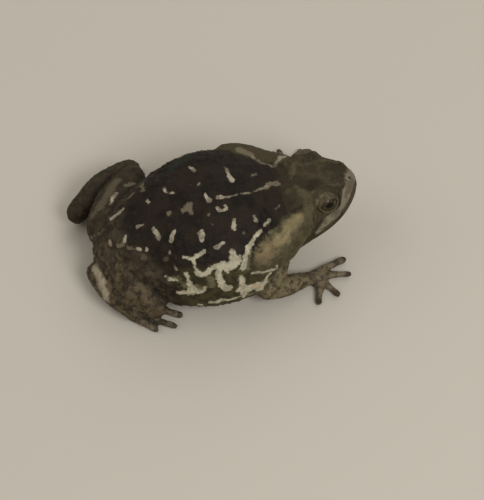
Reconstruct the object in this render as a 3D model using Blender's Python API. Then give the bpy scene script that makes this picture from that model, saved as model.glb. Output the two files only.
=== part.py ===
"""A sitting cururu toad, life size, as the separate named parts of its body.

+X runs from the vent to the snout, +Y is the toad's left and +Z is up. The spine bends
a little in plan, so places on the trunk and head are given along it, out from it and up.
Places on the limbs are given ahead of the vent, to the left of the chord and up. The
finished parts are moved so that the origin is the middle of the box's underside.
"""

import math
import random

import bmesh
import bpy
import numpy as np
from mathutils import Matrix, Vector

# Driving dimensions, in metres
MM = 0.001
BODY_LENGTH = 0.150  # vent to snout, along the spine's chord
SPINE_BEND = 0.006  # how far the middle of the spine bows to the right
HEAD_TURN = 0.003  # how far the snout is carried to the left
NECK_AT = 0.107  # station of the cut between torso and head
GAP = 0.0003  # clearance between neighbouring parts
POINTS_AROUND = 48
FLOOR_SIZE = 0.5
WELD = 0.00001  # points of one surface that lie this close are one point

# Sections of the trunk and head, square to the spine: where they lie along it
TAIL_SECTIONS = (0.0008, 0.003, 0.0065)
TRUNK_FROM, TRUNK_STEP = 0.011, 0.0062
HEAD_TO, HEAD_STEP = 0.1485, 0.0024
SNOUT_SECTIONS = (0.1498, 0.1509)
CURVE_SHARES = 16  # points of the smooth curve between two stations

# How finely balls and tubes are faceted
FINE_BALL = (16, 10)
PLAIN_BALL = (14, 8)
SMALL_BALL = (10, 6)
WART_BALL = (7, 4)
LIMB_SIDES, PAW_SIDES, DIGIT_SIDES, LINE_SIDES = 4, 3, 1, 0

# Trunk and head in millimetres: station along the spine, half width, height of the back,
# height of the belly, height of the widest line, and how square the upper and lower
# halves of the section are (2 is an ellipse). The first and last rows are the end points.
BODY_STATIONS = (
    (0.0, 0.0, 20.0, 20.0, 20.0, 2.0, 2.0),
    (1.5, 8.0, 25.5, 14.0, 20.0, 2.0, 2.0),
    (6.0, 14.5, 32.0, 8.5, 20.5, 2.0, 2.0),
    (14.0, 22.0, 40.5, 3.0, 21.0, 2.1, 2.2),
    (26.0, 30.5, 49.0, -0.4, 22.0, 2.2, 2.3),
    (42.0, 39.5, 56.5, -0.9, 23.0, 2.3, 2.3),
    (58.0, 45.0, 60.0, -1.0, 24.0, 2.3, 2.3),
    (72.0, 46.0, 60.5, -1.0, 25.0, 2.3, 2.3),
    (85.0, 42.5, 58.5, -0.5, 26.0, 2.3, 2.3),
    (96.0, 34.5, 55.5, 3.5, 27.0, 2.3, 2.2),
    (105.0, 28.0, 53.0, 9.0, 28.0, 2.4, 2.1),
    (113.0, 25.6, 51.8, 12.5, 29.0, 2.6, 2.0),
    (121.0, 24.2, 51.2, 15.0, 30.2, 2.8, 2.0),
    (129.0, 22.0, 50.4, 17.5, 31.6, 2.8, 2.0),
    (136.0, 18.8, 48.8, 20.5, 33.0, 2.6, 2.0),
    (142.0, 14.6, 46.8, 24.0, 34.4, 2.5, 2.0),
    (147.0, 9.8, 44.2, 28.0, 35.6, 2.3, 2.0),
    (150.0, 5.6, 41.2, 32.0, 36.4, 2.1, 2.0),
    (151.5, 0.0, 37.0, 37.0, 37.0, 2.0, 2.0),
)

# Head
EYE_RADIUS = 0.0074
EYE_AT = (0.1268, 0.0136, 0.0465)  # along, out and up
LID_RADII = (0.0106, 0.0090, 0.0085)
LID_SHIFT = 0.0004  # the lids' mound lies this much behind, inside and below the eye
EYE_OPENING = (0.0074, 0.0070, 0.0050)  # half length, depth and half height
EYE_TILT = 28  # degrees that the opening looks up
EYE_SWING = 3  # degrees that it looks forward
LID_PITCH = 4  # degrees that the mound leans down to the snout
NOSTRIL_AT = (0.1455, 0.0052)
NOSTRIL_RADII = (0.0014, 0.0011, 0.0016)
NOSTRIL_TILT = (20, -30)  # degrees, down to the snout and outwards
JAW_CORNER_AT = 0.1165
LIP_OVERHANG = 0.0013
MOUTH_GROOVE = 0.0008
MOUTH_STEP, MOUTH_TO = 0.0035, 0.1503  # the groove's steps along the lips, and its last one
MOUTH_INSET = (0.5, 0.7)  # how far the groove's middle lies in from the lips and down, in mm
MOUTH_TIP = 0.0012  # how far it passes the end of the chord
HEAD_MIDDLE = (0.128, 0.0, 0.032)  # crests rise away from here
CREST_SHARES = 8
# Bony crests: points along and out in mm, then height and reach in mm
CRESTS = (
    (((146, 5.0), (142, 7.4), (138, 9.2), (133, 8.6), (126, 8.4), (121, 10.5)), 1.5, 2.6),
    (((138, 9.2), (136.5, 14.5)), 1.0, 2.4),
    (((114, 3.0), (118, 8.0), (119.5, 13.0), (117.5, 18.5), (115.5, 23.0)), 1.6, 2.8),
)
# The gland behind each eye: along, out, depth under the skin and radius in mm
PAROTOID = (
    (116.5, 17.0, 2.5, 5.0),
    (109.0, 21.0, 3.0, 7.6),
    (100.0, 28.0, 3.4, 8.6),
    (91.0, 34.5, 3.4, 7.8),
    (85.0, 38.0, 3.0, 5.6),
)

# Low warts of the back and flanks
WART_COUNT = 40
WART_SEED = 7
WART_RADII = (0.0015, 0.0030)
WART_ZONE = (0.020, 0.096)  # along the spine
WART_REACH = 0.97  # share of the half width
WART_SPACING = 2.3  # in radii of both neighbours
WART_RISE = 0.6  # height of the dome against its radius
WART_SINK = 0.1  # depth of its centre against its radius
CLEAR_OF_LEG = (0.034, 0.016)  # no warts behind this station and further out than this
CLEAR_OF_GLAND = (0.078, 0.017)  # and none ahead of this one

# Share of the radius that a limb's domed end reaches past it, and its radius there
END_DOME = ((0.97, 0.3), (0.7, 0.78))
# Limbs in millimetres, from the body outwards: ahead, left, up and radius
LIMBS = {
    "upper_arm_right": ((100, -22, 26, 9.0), (96, -35, 20, 8.6), (91, -44, 13.5, 7.0)),
    "forearm_right": ((90, -43.5, 11, 6.4), (101, -42.5, 9.2, 6.9), (114, -38, 5, 4.2)),
    "upper_arm_left": ((100, 19, 26, 9.0), (96, 31, 20, 8.6), (93, 39, 13.5, 7.0)),
    "forearm_left": ((92, 38.5, 11, 6.4), (103, 39, 9.2, 6.9), (115, 36, 5, 4.2)),
    "thigh_right": ((11.5, -9, 23, 12.0), (18.5, -27, 20, 12.0), (25, -39.5, 13.5, 8.4)),
    "shank_right": ((15.5, -38, 10.5, 6.8), (6.5, -25.5, 13.2, 8.3), (0, -11, 12, 6.3)),
    "thigh_left": ((10, 11, 23, 12.0), (20, 27, 22, 12.5), (31, 42, 19, 8.8)),
    "shank_left": ((31, 49.5, 17, 7.4), (12, 43, 16, 8.6), (-3, 32, 11.5, 6.3)),
}
# The swollen gland on the outside of each shank: ahead, left, up and radius in mm
SHANK_GLANDS = {
    "shank_right": ((0.5, -15, 17.5, 3.0), (3.5, -22.5, 19.2, 4.2), (7, -31, 16.4, 3.2)),
    "shank_left": ((4, 39.5, 20.5, 2.8), (11, 44, 22, 3.8), (19, 47.5, 22, 3.0)),
}
# Hands and feet: wrist or heel to palm or sole, how broad that is, and each digit's tip
PAWS = {
    "hand_right": {
        "limb": ((113, -38.3, 5, 4.0), (117, -37.6, 4, 4.0), (121, -37.5, 3.2, 3.4)),
        "pad": (5.5, 6.4, 2.8),
        "tips": ((138, -28.5), (138.5, -38.5), (129, -49.5), (117.5, -52.5)),
    },
    "hand_left": {
        "limb": ((114, 36.3, 5, 4.0), (118, 36.6, 4, 4.0), (122, 37, 3.2, 3.4)),
        "pad": (5.5, 6.4, 2.8),
        "tips": ((140, 31), (141, 41), (133, 50.5), (121, 53)),
    },
    "foot_right": {
        "limb": ((0, -12, 5, 3.6), (9, -25, 4.2, 3.8), (17, -35, 3.4, 4.0)),
        "pad": (8.5, 6.2, 2.6),
        "tips": ((26, -33.5), (33, -37), (40, -42.5), (35.5, -49), (25, -49)),
    },
    "foot_left": {
        "limb": ((-3, 32, 5, 3.6), (6, 40, 4.2, 3.8), (14, 46, 3.4, 4.0)),
        "pad": (8.5, 6.2, 2.6),
        "tips": ((25, 42.5), (33, 45.5), (41, 51.5), (38, 59.5), (25, 60)),
    },
}
DIGIT_SHARES = (0.0, 0.38, 0.74, 1.0)  # from its root to its tip
DIGIT_RADII = (2.6, 2.2, 1.9, 2.1)  # there, in mm
DIGIT_ARCH = 0.9  # how far its middle is raised, in mm
DIGIT_SPREAD = 2.4  # distance between the roots of neighbouring digits, in mm
DIGIT_SINK = 0.3  # how far a digit would reach below the floor, in mm
DIGIT_ROOT = (0.0015, 0.3)  # ahead of the pad's middle, less a share of how far to the side
PAD_SINK = 0.5  # in mm
WEB_RADII = (0.0080, 0.0082, 0.0013)
WEB_AT = (0.42, 0.0012)  # share of the way from pad to tips, and height

SIDES = {"left": 1, "right": -1}
ROUGHNESS = {"eye": 0.2, "skin": 0.6}
COLOURS = {
    "torso": (0.024, 0.017, 0.013),
    "head": (0.045, 0.036, 0.020),
    "eye": (0.008, 0.005, 0.002),
    "parotoid": (0.19, 0.15, 0.09),
    "upper_arm": (0.08, 0.065, 0.035),
    "forearm": (0.07, 0.06, 0.035),
    "hand": (0.07, 0.06, 0.04),
    "thigh": (0.045, 0.032, 0.022),
    "shank": (0.06, 0.045, 0.03),
    "foot": (0.07, 0.055, 0.04),
}


def sideways(along):
    """How far the spine lies to the left of the chord at a station."""
    past = max(0.0, (along - NECK_AT) / (BODY_LENGTH - NECK_AT))
    return HEAD_TURN * past**2 - SPINE_BEND * math.sin(math.pi * along / BODY_LENGTH)


def heading(along):
    """The spine's direction in plan, as an angle from +X."""
    return math.atan((sideways(along + MM) - sideways(along - MM)) / (2 * MM))


def place(along, out, up):
    """The point at a station of the spine, a distance out to the left, and a height."""
    turn = heading(along)
    left = sideways(along) + out * math.cos(turn)
    return Vector((along - out * math.sin(turn), left, up))


def turned(along, pitch=0.0, roll=0.0):
    """A rotation that faces along the spine at a station, then pitches and rolls."""
    return (
        Matrix.Rotation(heading(along), 3, "Z")
        @ Matrix.Rotation(pitch, 3, "Y")
        @ Matrix.Rotation(roll, 3, "X")
    )


def smooth_rows():
    """The stations with a smooth curve through them (Catmull-Rom), in small steps."""
    rows = np.array(BODY_STATIONS)
    padded = np.vstack((2 * rows[0] - rows[1], rows, 2 * rows[-1] - rows[-2]))
    found = []
    for before, start, end, after in zip(padded, padded[1:], padded[2:], padded[3:]):
        for t in np.arange(CURVE_SHARES) / CURVE_SHARES:
            pull = t * (end - before) + t**2 * (2 * before - 5 * start + 4 * end - after)
            found.append(start + pull / 2 + t**3 * (3 * start - before - 3 * end + after) / 2)
    return np.array([*found, rows[-1]])


ROWS = smooth_rows()


def row_at(along):
    """The station row at any distance along the spine."""
    return [np.interp(along / MM, ROWS[:, 0], column) for column in ROWS.T]


def skin_height(along, out):
    """The height of the upper skin at a station and a distance out from the spine."""
    _, half_width, back, _, wide, upper, _ = row_at(along)
    share = min(abs(out) / (half_width * MM), 0.999)
    return (wide + (back - wide) * (1 - share**upper) ** (1 / upper)) * MM


def clear_scene():
    for obj in list(bpy.data.objects):
        bpy.data.objects.remove(obj)


def new_collection(name):
    found = bpy.data.collections.new(name)
    bpy.context.scene.collection.children.link(found)
    return found


def add_object(name, mesh, home):
    obj = bpy.data.objects.new(name, mesh)
    home.objects.link(obj)
    return obj


def apply_modifiers(obj):
    """Replaces an object's mesh with what its modifiers make of it."""
    graph = bpy.context.evaluated_depsgraph_get()
    mesh = bpy.data.meshes.new_from_object(obj.evaluated_get(graph))
    obj.modifiers.clear()
    obj.data = mesh


def keep_largest(obj):
    """Keeps the closed surface of largest volume, in triangles, and drops any scrap."""
    mesh = bmesh.new()
    mesh.from_mesh(obj.data)
    left, islands = set(mesh.faces), []
    while left:
        rim = [left.pop()]
        island = list(rim)
        while rim:
            near = {face for edge in rim.pop().edges for face in edge.link_faces} & left
            left -= near
            island += near
            rim += near
        islands.append(island)

    def volume(island):
        total = 0.0
        for face in island:
            first = face.verts[0].co
            for one, two in zip(face.verts[1:], face.verts[2:]):
                total += first.dot(one.co.cross(two.co)) / 6
        return total

    islands.sort(key=volume, reverse=True)
    scraps = [face for island in islands[1:] for face in island]
    bmesh.ops.delete(mesh, geom=scraps, context="FACES")
    bmesh.ops.triangulate(mesh, faces=mesh.faces, ngon_method="EAR_CLIP")
    mesh.to_mesh(obj.data)
    mesh.free()


def boolean(obj, operation, others):
    """Joins or cuts obj with the others in one step, and removes the others."""
    tools = new_collection("tools")
    tools.hide_render = True
    for other in others:
        for home in list(other.users_collection):
            home.objects.unlink(other)
        tools.objects.link(other)
    modifier = obj.modifiers.new(operation.lower(), "BOOLEAN")
    modifier.operation = operation
    modifier.solver = "EXACT"
    modifier.operand_type = "COLLECTION"
    modifier.collection = tools
    apply_modifiers(obj)
    for other in others:
        bpy.data.objects.remove(other)
    bpy.data.collections.remove(tools)
    keep_largest(obj)
    return obj


def grown_copy(obj, home):
    """A copy of obj with its surface moved out by the gap, to cut a neighbour with."""
    mesh = bmesh.new()
    mesh.from_mesh(obj.data)
    mesh.normal_update()
    moves = [vert.normal * GAP for vert in mesh.verts]
    for vert, move in zip(mesh.verts, moves):
        vert.co += move
    data = bpy.data.meshes.new(obj.name + "_grown")
    mesh.to_mesh(data)
    mesh.free()
    return add_object(obj.name + "_grown", data, home)


def trim(obj, neighbours, home):
    """Cuts obj clear of its neighbours, so that they meet face to face across the gap."""
    return boolean(obj, "DIFFERENCE", [grown_copy(other, home) for other in neighbours])


def cut_at_floor(obj):
    """Takes off what reaches below the floor, which leaves small flats to rest on."""
    bpy.ops.mesh.primitive_cube_add(size=FLOOR_SIZE, location=(0, 0, -FLOOR_SIZE / 2))
    return boolean(obj, "DIFFERENCE", [bpy.context.object])


def section(along):
    """One cross-section of the trunk or head, as (out, up) pairs in metres."""
    _, half_width, back, belly, wide, upper, lower = row_at(along)
    angle = np.linspace(0, 2 * math.pi, POINTS_AROUND, endpoint=False)
    across, rise = np.cos(angle), np.sin(angle)
    power = 2 / np.where(rise >= -1e-9, upper, lower)
    reach = np.where(rise >= 0, back - wide, wide - belly)
    under_lip = LIP_OVERHANG / MM * np.clip((along - NECK_AT) / (JAW_CORNER_AT - NECK_AT), 0, 1)
    width = half_width - np.where(rise < -1e-9, min(under_lip, half_width / 3), 0)
    out = width * np.sign(across) * np.abs(across) ** power
    up = wide + reach * np.sign(rise) * np.abs(rise) ** power
    return np.column_stack((out, up)) * MM


def raise_crest(points, crest, side, height, reach):
    """Moves the skin near a line on the head up and out, most beside the line."""
    spots = [(along * MM, side * out * MM) for along, out in crest]
    line = [place(along, out, skin_height(along, out)) for along, out in spots]
    shares = np.linspace(0, 1, CREST_SHARES + 1)
    fine = np.array([one.lerp(two, share) for one, two in zip(line, line[1:]) for share in shares])
    apart = np.linalg.norm(points[:, None] - fine[None], axis=2).min(axis=1)
    lift = height * np.exp(-((apart / reach) ** 2))
    away = points - np.array(place(*HEAD_MIDDLE))
    away /= np.linalg.norm(away, axis=1)[:, None]
    return points + away * lift[:, None]


def make_body(home):
    """Trunk and head as one lofted skin of sections square to the spine."""
    trunk = np.arange(TRUNK_FROM, NECK_AT, TRUNK_STEP)
    front = np.arange(NECK_AT + MM, HEAD_TO, HEAD_STEP)
    stations = [*TAIL_SECTIONS, *trunk, *front, *SNOUT_SECTIONS]
    points = np.array([place(s, out, up) for s in stations for out, up in section(s)])
    for crest, height, reach in CRESTS:
        for side in SIDES.values():
            points = raise_crest(points, crest, side, height * MM, reach * MM)
    first, last = BODY_STATIONS[0], BODY_STATIONS[-1]
    vent = place(first[0] * MM, 0, first[4] * MM)
    snout = place(last[0] * MM, 0, last[4] * MM)
    mesh = bpy.data.meshes.new("body")
    mesh.from_pydata([*map(tuple, points), vent, snout], [], loft_faces(len(stations)))
    mesh.update()
    return add_object("body", mesh, home)


def loft_faces(ring_count):
    """Quads between neighbouring rings, and a fan to the point at each end."""
    around, last = POINTS_AROUND, (ring_count - 1) * POINTS_AROUND
    vent, snout = ring_count * around, ring_count * around + 1
    faces = []
    for j in range(around):
        k = (j + 1) % around
        faces.append((vent, k, j))
        faces.append((snout, last + j, last + k))
        for i in range(0, last, around):
            faces.append((i + j, i + k, i + around + k, i + around + j))
    return faces


def tube(name, places, radii, home, sides=LIMB_SIDES, steps=2):
    """A round limb through points of the model, made as a bevelled curve, domed ends."""
    start = (places[0] - places[1]).normalized()
    end = (places[-1] - places[-2]).normalized()
    points = [(places[0] + start * far * radii[0], thick * radii[0]) for far, thick in END_DOME]
    points += list(zip(places, radii))
    for far, thick in reversed(END_DOME):
        points.append((places[-1] + end * far * radii[-1], thick * radii[-1]))
    curve = bpy.data.curves.new(name, "CURVE")
    curve.dimensions = "3D"
    curve.bevel_depth = 1.0
    curve.bevel_resolution = sides
    curve.use_fill_caps = True
    curve.resolution_u = steps
    spline = curve.splines.new("NURBS")
    spline.points.add(len(points) - 1)
    for point, (spot, radius) in zip(spline.points, points):
        point.co = (*spot, 1)
        point.radius = radius
    spline.order_u = 3
    spline.use_endpoint_u = True
    return mesh_of_curve(name, curve, home)


def mesh_of_curve(name, curve, home):
    """The curve's surface as a closed mesh, with its caps welded on."""
    guide = add_object(name + "_curve", curve, home)
    bpy.context.view_layer.update()
    graph = bpy.context.evaluated_depsgraph_get()
    data = bpy.data.meshes.new_from_object(guide.evaluated_get(graph))
    bpy.data.objects.remove(guide)
    mesh = bmesh.new()
    mesh.from_mesh(data)
    bmesh.ops.remove_doubles(mesh, verts=mesh.verts, dist=WELD)
    bmesh.ops.recalc_face_normals(mesh, faces=mesh.faces)
    mesh.to_mesh(data)
    mesh.free()
    return add_object(name, data, home)


def limb(name, rows, home, sides=LIMB_SIDES):
    """A limb from rows of (ahead, left, up, radius) in mm."""
    places = [Vector(row[:3]) * MM for row in rows]
    return tube(name, places, [row[3] * MM for row in rows], home, sides)


def ellipsoid(name, middle, radii, turn, home, facets):
    """A ball stretched to three radii and turned about its centre."""
    around, down = facets
    mesh = bmesh.new()
    bmesh.ops.create_uvsphere(mesh, u_segments=around, v_segments=down, radius=1)
    size = Matrix.Diagonal((*radii, 1))
    mesh.transform(Matrix.Translation(middle) @ turn.to_4x4() @ size)
    data = bpy.data.meshes.new(name)
    mesh.to_mesh(data)
    mesh.free()
    return add_object(name, data, home)


def make_eyes(home):
    """The eyeballs, each with its pole turned outwards."""
    eyes = []
    for name, side in SIDES.items():
        along, out, up = EYE_AT
        middle = place(along, side * out, up)
        turn = turned(along, 0.0, math.radians(90))
        eyes.append(ellipsoid(f"eye_{name}", middle, (EYE_RADIUS,) * 3, turn, home, FINE_BALL))
    return eyes


def add_lids(body, home):
    """The swollen lids, joined to the head as one mound around each eye."""
    along, out, up = EYE_AT
    mounds = []
    for side in SIDES.values():
        middle = place(along - LID_SHIFT, side * (out - LID_SHIFT), up - LID_SHIFT)
        turn = turned(along, math.radians(LID_PITCH), 0.0)
        mounds.append(ellipsoid("lids", middle, LID_RADII, turn, home, FINE_BALL))
    return boolean(body, "UNION", mounds)


def cut_face(body, eyes, home):
    """Opens the lids, and cuts the eye sockets, the nostrils and the line of the mouth."""
    cutters = [grown_copy(eye, home) for eye in eyes]
    for side in SIDES.values():
        along, out, up = EYE_AT
        turn = turned(along, 0.0, side * math.radians(EYE_TILT))
        turn = Matrix.Rotation(-side * math.radians(EYE_SWING), 3, "Z") @ turn
        middle = place(along, side * out, up) + turn @ Vector((0, side * EYE_RADIUS, 0))
        cutters.append(ellipsoid("opening", middle, EYE_OPENING, turn, home, FINE_BALL))
        along, out = NOSTRIL_AT
        middle = place(along, side * out, skin_height(along, out))
        pitch, roll = (math.radians(angle) for angle in NOSTRIL_TILT)
        turn = turned(along, pitch, side * roll)
        cutters.append(ellipsoid("nostril", middle, NOSTRIL_RADII, turn, home, SMALL_BALL))
    return boolean(boolean(body, "DIFFERENCE", cutters), "DIFFERENCE", [mouth_cutter(home)])


def mouth_cutter(home):
    """A thin bent rod that follows the lips from one jaw corner to the other."""
    lips = []
    inset, drop = MOUTH_INSET
    for along in [*np.arange(JAW_CORNER_AT, BODY_LENGTH, MOUTH_STEP), MOUTH_TO]:
        _, half_width, _, _, wide, _, _ = row_at(along)
        lips.append((along, (half_width - inset) * MM, (wide - drop) * MM))
    left = [place(*spot) for spot in lips]
    right = [place(along, -out, up) for along, out, up in lips[::-1]]
    tip = place(BODY_LENGTH + MOUTH_TIP, 0, (BODY_STATIONS[-1][4] - drop) * MM)
    path = [*left, tip, *right]
    return tube("mouth_line", path, [MOUTH_GROOVE] * len(path), home, LINE_SIDES, steps=1)


def split_at_neck(body, home):
    """Parts the head from the torso with one thin cut square to the spine."""
    torso = add_object("torso", body.data.copy(), home)
    head = add_object("head", body.data.copy(), home)
    bpy.data.objects.remove(body)
    turn = turned(NECK_AT)
    for obj, ahead in ((torso, 1), (head, -1)):
        shift = turn @ Vector((ahead * (FLOOR_SIZE - GAP) / 2, 0, 0))
        bpy.ops.mesh.primitive_cube_add(
            size=FLOOR_SIZE, location=place(NECK_AT, 0, 0) + shift, rotation=turn.to_euler()
        )
        boolean(obj, "DIFFERENCE", [bpy.context.object])
    return torso, head


def add_warts(torso, home):
    """Low domes of varied size over the back and flanks."""
    draw = random.Random(WART_SEED)
    spots, pieces = [], []
    while len(pieces) < WART_COUNT:
        along = draw.uniform(*WART_ZONE)
        half_width = row_at(along)[1] * MM
        out = draw.uniform(-WART_REACH, WART_REACH) * half_width
        size = draw.uniform(*WART_RADII)
        up = skin_height(along, out)
        spot = place(along, out, up)
        on_leg = along < CLEAR_OF_LEG[0] and abs(out) > CLEAR_OF_LEG[1]
        on_gland = along > CLEAR_OF_GLAND[0] and abs(out) > CLEAR_OF_GLAND[1]
        near = any((spot - other).length < WART_SPACING * (size + wide) for other, wide in spots)
        if on_leg or on_gland or near:
            continue
        spots.append((spot, size))
        across = (skin_height(along, out - MM) - skin_height(along, out + MM)) / (2 * MM)
        away = turned(along) @ Vector((0, across, 1)).normalized()
        turn = away.to_track_quat("Z", "X").to_matrix()
        radii = (size, size, size * WART_RISE)
        pieces.append(ellipsoid("wart", spot - away * size * WART_SINK, radii, turn, home, WART_BALL))
    return boolean(torso, "UNION", pieces)


def make_parotoid(name, side, torso, head, home):
    """The big kidney-shaped gland behind each eye, lying on torso and head."""
    places = []
    for along, out, depth, _ in PAROTOID:
        spot = (along * MM, side * out * MM)
        places.append(place(*spot, skin_height(*spot) - depth * MM))
    gland = tube(f"parotoid_{name}", places, [row[3] * MM for row in PAROTOID], home)
    return trim(gland, [torso, head], home)


def make_paw(name, home):
    """A hand or foot: wrist or heel, a flat palm or sole, and a digit to each tip."""
    plan = PAWS[name]
    paw = limb(name, plan["limb"], home, PAW_SIDES)
    wrist, root = (Vector(row[:3]) * MM for row in plan["limb"][-2:])
    facing = Vector((root.x - wrist.x, root.y - wrist.y, 0)).normalized()
    across = Vector((-facing.y, facing.x, 0))
    turn = facing.to_track_quat("X", "Z").to_matrix()
    pad = Vector((root.x, root.y, (plan["pad"][2] - PAD_SINK) * MM))
    pieces = [ellipsoid("pad", pad, [size * MM for size in plan["pad"]], turn, home, PLAIN_BALL)]
    tips = [Vector((ahead, left, DIGIT_RADII[-1] - DIGIT_SINK)) * MM for ahead, left in plan["tips"]]
    order = sorted(tips, key=lambda tip: (tip - pad).dot(across))
    for i, tip in enumerate(order):
        shift = (i - (len(tips) - 1) / 2) * DIGIT_SPREAD * MM
        ahead, less = DIGIT_ROOT
        start = pad + across * shift + facing * (ahead - abs(shift) * less)
        places = []
        for share, radius in zip(DIGIT_SHARES, DIGIT_RADII):
            spot = start.lerp(tip, share)
            arch = DIGIT_ARCH * math.sin(math.pi * share)
            spot.z = (radius - DIGIT_SINK + arch) * MM
            places.append(spot)
        radii = [radius * MM for radius in DIGIT_RADII]
        pieces.append(tube("digit", places, radii, home, DIGIT_SIDES))
    if name.startswith("foot"):
        share, height = WEB_AT
        middle = pad.lerp(sum(tips, Vector()) / len(tips), share)
        middle.z = height
        pieces.append(ellipsoid("web", middle, WEB_RADII, turn, home, PLAIN_BALL))
    return boolean(paw, "UNION", pieces)


def make_fore_limb(side, torso, head, gland, home):
    upper_arm = limb(f"upper_arm_{side}", LIMBS[f"upper_arm_{side}"], home)
    trim(upper_arm, [torso, head, gland], home)
    forearm = limb(f"forearm_{side}", LIMBS[f"forearm_{side}"], home)
    trim(forearm, [torso, upper_arm], home)
    hand = trim(make_paw(f"hand_{side}", home), [forearm], home)
    return [upper_arm, forearm, hand]


def make_hind_limb(side, torso, home):
    shank = limb(f"shank_{side}", LIMBS[f"shank_{side}"], home)
    gland = limb("gland", SHANK_GLANDS[f"shank_{side}"], home, PAW_SIDES)
    boolean(shank, "UNION", [gland])
    trim(shank, [torso], home)
    thigh = limb(f"thigh_{side}", LIMBS[f"thigh_{side}"], home)
    trim(thigh, [torso, shank], home)
    foot = trim(make_paw(f"foot_{side}", home), [shank, thigh, torso], home)
    return [shank, thigh, foot]


def paint(obj):
    """Gives a part a skin or eye material of its own."""
    part = obj.name.removesuffix("_left").removesuffix("_right")
    material = bpy.data.materials.new(obj.name + "_material")
    material.use_nodes = True
    shader = material.node_tree.nodes["Principled BSDF"]
    shader.inputs["Base Color"].default_value = (*COLOURS[part], 1)
    shader.inputs["Roughness"].default_value = ROUGHNESS["eye" if part == "eye" else "skin"]
    shader.inputs["Metallic"].default_value = 0.0
    obj.data.materials.clear()
    obj.data.materials.append(material)


def centre_on_floor(parts):
    """Moves every part so that the origin is the middle of the box's underside."""
    corners = np.array([vert.co for obj in parts for vert in obj.data.vertices])
    low, high = corners.min(axis=0), corners.max(axis=0)
    shift = Vector((-(low[0] + high[0]) / 2, -(low[1] + high[1]) / 2, -low[2]))
    print("moved by", [round(value, 5) for value in shift])
    for obj in parts:
        obj.data.transform(Matrix.Translation(shift))


def main():
    clear_scene()
    home = new_collection("cururu_toad")
    eyes = make_eyes(home)
    body = cut_face(add_lids(make_body(home), home), eyes, home)
    torso, head = split_at_neck(body, home)
    add_warts(torso, home)
    parts = [torso, head, *eyes]
    for name, side in SIDES.items():
        gland = make_parotoid(name, side, torso, head, home)
        parts.append(gland)
        parts += make_fore_limb(name, torso, head, gland, home)
        parts += make_hind_limb(name, torso, home)
    for obj in parts:
        cut_at_floor(obj)
        paint(obj)
        obj.data.shade_smooth()
    centre_on_floor(parts)


main()
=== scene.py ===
# A cururu toad sitting still, life size, for Blender 4.5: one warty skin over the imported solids, and eyes in lids
import math

import bmesh
import bpy
import numpy as np
from mathutils import Matrix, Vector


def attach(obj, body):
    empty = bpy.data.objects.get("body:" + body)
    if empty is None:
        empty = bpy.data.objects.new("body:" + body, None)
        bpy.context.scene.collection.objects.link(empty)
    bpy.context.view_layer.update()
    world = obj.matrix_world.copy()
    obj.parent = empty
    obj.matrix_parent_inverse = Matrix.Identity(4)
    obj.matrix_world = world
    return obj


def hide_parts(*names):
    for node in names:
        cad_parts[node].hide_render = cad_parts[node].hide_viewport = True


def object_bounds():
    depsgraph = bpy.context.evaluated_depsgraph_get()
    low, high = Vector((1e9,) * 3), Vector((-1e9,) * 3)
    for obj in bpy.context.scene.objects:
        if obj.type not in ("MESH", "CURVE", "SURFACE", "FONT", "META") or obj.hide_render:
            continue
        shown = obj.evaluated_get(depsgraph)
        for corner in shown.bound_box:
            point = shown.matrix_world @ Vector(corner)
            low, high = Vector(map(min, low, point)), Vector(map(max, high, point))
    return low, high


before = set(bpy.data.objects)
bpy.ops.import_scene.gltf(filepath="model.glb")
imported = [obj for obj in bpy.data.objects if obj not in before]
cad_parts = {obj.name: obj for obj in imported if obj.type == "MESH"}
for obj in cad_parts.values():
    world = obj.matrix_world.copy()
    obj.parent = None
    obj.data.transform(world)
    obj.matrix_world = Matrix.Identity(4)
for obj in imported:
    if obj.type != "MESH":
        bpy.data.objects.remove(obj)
cadBox = [[float(value) for value in corner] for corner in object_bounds()]
print("frame loaded, box", cadBox)

mm = 0.001  # in metres
tiny = 1e-9  # keeps a division from zero
farOff = 1000.0  # mm, clear of every mark

# Places below are in millimetres as the body was drawn: ahead of the vent, left of the chord, up
body = {
    "shift": (-71.27, -3.69, 0.0),  # from there to the row frame
    "length": 150.0,
    "bend": 6.0,  # how far the spine bows to the right
    "headTurn": 3.0,  # how far the snout is carried left
    "neck": 107.0,
}


def spineLeft(along):  # how far the spine lies left of the chord: a squared turn at the head less a sine bow
    past = np.maximum(0, (along - body["neck"]) / (body["length"] - body["neck"]))
    return body["headTurn"] * past**2 - body["bend"] * np.sin(np.pi * along / body["length"])


def heading(along):  # the spine's direction in plan, from its slope over 2 mm
    return np.arctan((spineLeft(along + 1) - spineLeft(along - 1)) / 2)


def place(along, out, up):  # a station of the spine, a distance out square to it, and a height
    turn = heading(along)
    left = spineLeft(along) + out * np.cos(turn)
    return np.stack(np.broadcast_arrays(along - out * np.sin(turn), left, up), axis=-1).astype(float)


def toRow(points):  # millimetres as drawn to metres in the row frame
    return (np.asarray(points) + body["shift"]) * mm


def fromRow(points):  # and back
    return points * 1000 - body["shift"]


def unit(vectors):  # every vector at length one
    return vectors / np.maximum(np.linalg.norm(vectors, axis=-1, keepdims=True), tiny)


def readPoints(mesh, what="vertices", field="co"):  # a mesh's points or normals as one array
    items = getattr(mesh, what)
    values = np.empty(len(items) * 3, np.float32)
    items.foreach_get(field, values)
    return values.reshape(-1, 3).astype(np.float64)


def writePoints(mesh, points):  # new places for a mesh's points
    mesh.vertices.foreach_set("co", points.astype(np.float32).ravel())
    mesh.update()


def writeValues(mesh, values):  # each named array as a float attribute of the points
    for name, value in values.items():
        attribute = mesh.attributes.new(name, "FLOAT", "POINT")
        attribute.data.foreach_set("value", np.broadcast_to(value, len(mesh.vertices)).astype(np.float32))


def newObject(name, data):  # in the scene, at the origin
    made = bpy.data.objects.new(name, data)
    bpy.context.scene.collection.objects.link(made)
    return made


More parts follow.
